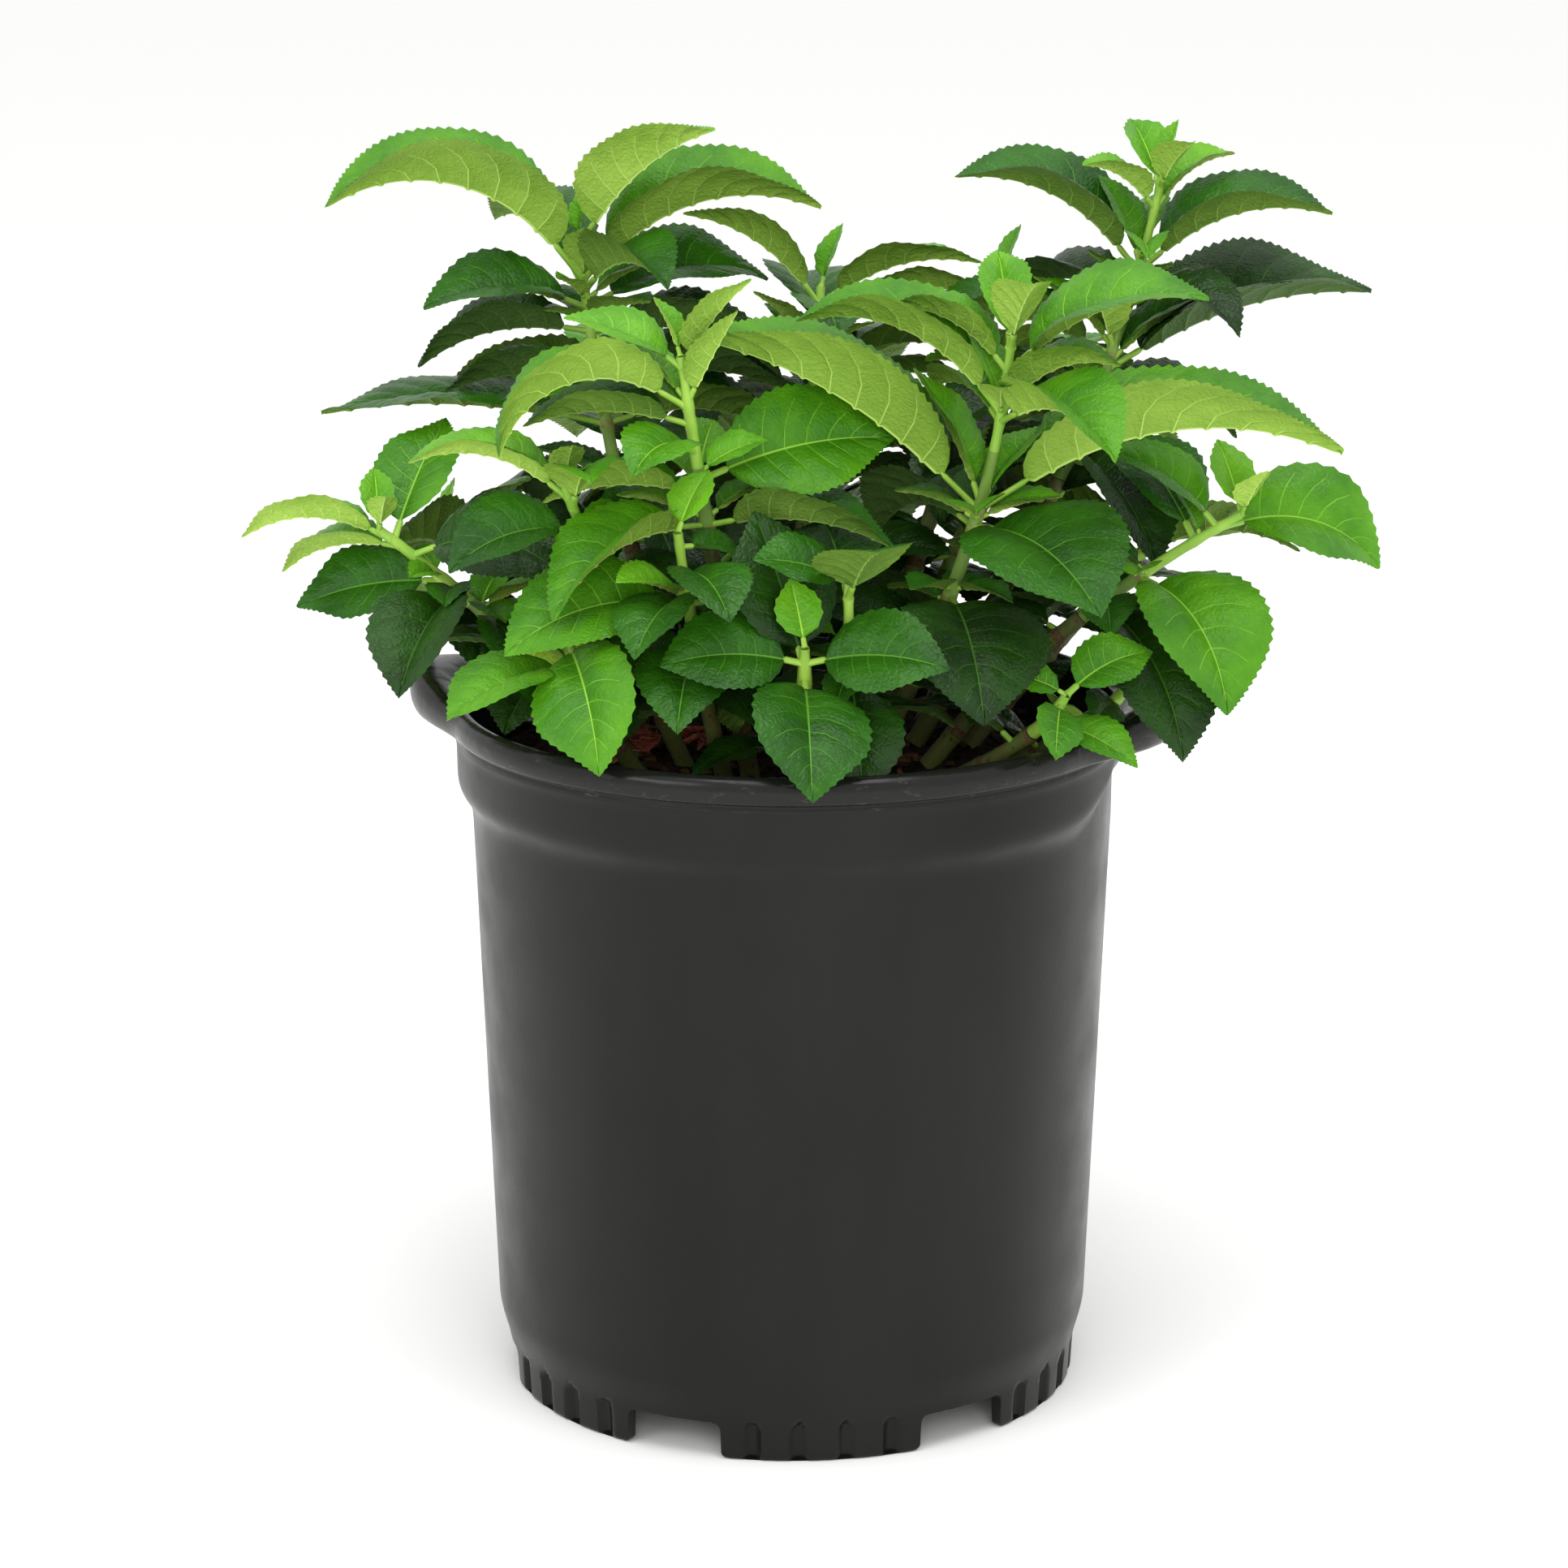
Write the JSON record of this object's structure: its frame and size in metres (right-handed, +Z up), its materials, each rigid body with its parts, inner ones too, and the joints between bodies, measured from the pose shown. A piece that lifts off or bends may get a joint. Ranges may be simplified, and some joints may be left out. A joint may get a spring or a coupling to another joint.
{
  "type": "hydrangea shrub in a nursery pot",
  "caption": "Leafy bigleaf hydrangea shrub, not in flower, with broad toothed leaves on green canes, growing in a round black plastic nursery pot with a rolled lip and two grips.",
  "frame": {"origin": "on the ground, under the middle of the whole plant and pot, seen from above", "axes": "+Z up; -Y towards the front, where the tall front shoots lean out; +X to the right seen from the front, along the line through the pot's two grips"},
  "size_m": [0.3852, 0.3174, 0.4329],
  "materials": {
    "pot": "satin black blow-moulded polyethylene",
    "mix": "moist dark brown bark potting mix",
    "cane": "smooth young green bark with small brown marks",
    "leaf": "fresh green leaf, slightly glossy above and paler below"
  },
  "bodies": {
    "root": {"pot": "pot", "potting_mix": "mix", "cane_front_right": "cane", "leaves_front_right": "leaf", "cane_front_left": "cane", "leaves_front_left": "leaf", "cane_back_left": "cane", "leaves_back_left": "leaf", "cane_back_right": "cane", "leaves_back_right": "leaf", "cane_right_low": "cane", "leaves_right_low": "leaf", "cane_left_low": "cane", "leaves_left_low": "leaf", "cane_left_middle": "cane", "leaves_left_middle": "leaf", "cane_left_front": "cane", "leaves_left_front": "leaf", "cane_front_low": "cane", "leaves_front_low": "leaf", "cane_left_front_low": "cane", "leaves_left_front_low": "leaf", "cane_right_front_low": "cane", "leaves_right_front_low": "leaf", "cane_right_front_bud": "cane", "leaves_right_front_bud": "leaf", "cane_right_rim": "cane", "leaves_right_rim": "leaf", "cane_middle_back": "cane", "leaves_middle_back": "leaf", "cane_right_middle_back": "cane", "leaves_right_middle_back": "leaf", "cane_rear_left": "cane", "leaves_rear_left": "leaf", "cane_rear_middle": "cane", "leaves_rear_middle": "leaf", "cane_rear_right": "cane", "leaves_rear_right": "leaf", "cane_left_back": "cane", "leaves_left_back": "leaf", "cane_right_back": "cane", "leaves_right_back": "leaf", "cane_rear_left_low": "cane", "leaves_rear_left_low": "leaf", "cane_rear_low": "cane", "leaves_rear_low": "leaf", "cane_rear_right_low": "cane", "leaves_rear_right_low": "leaf"}
  },
  "joints": []
}
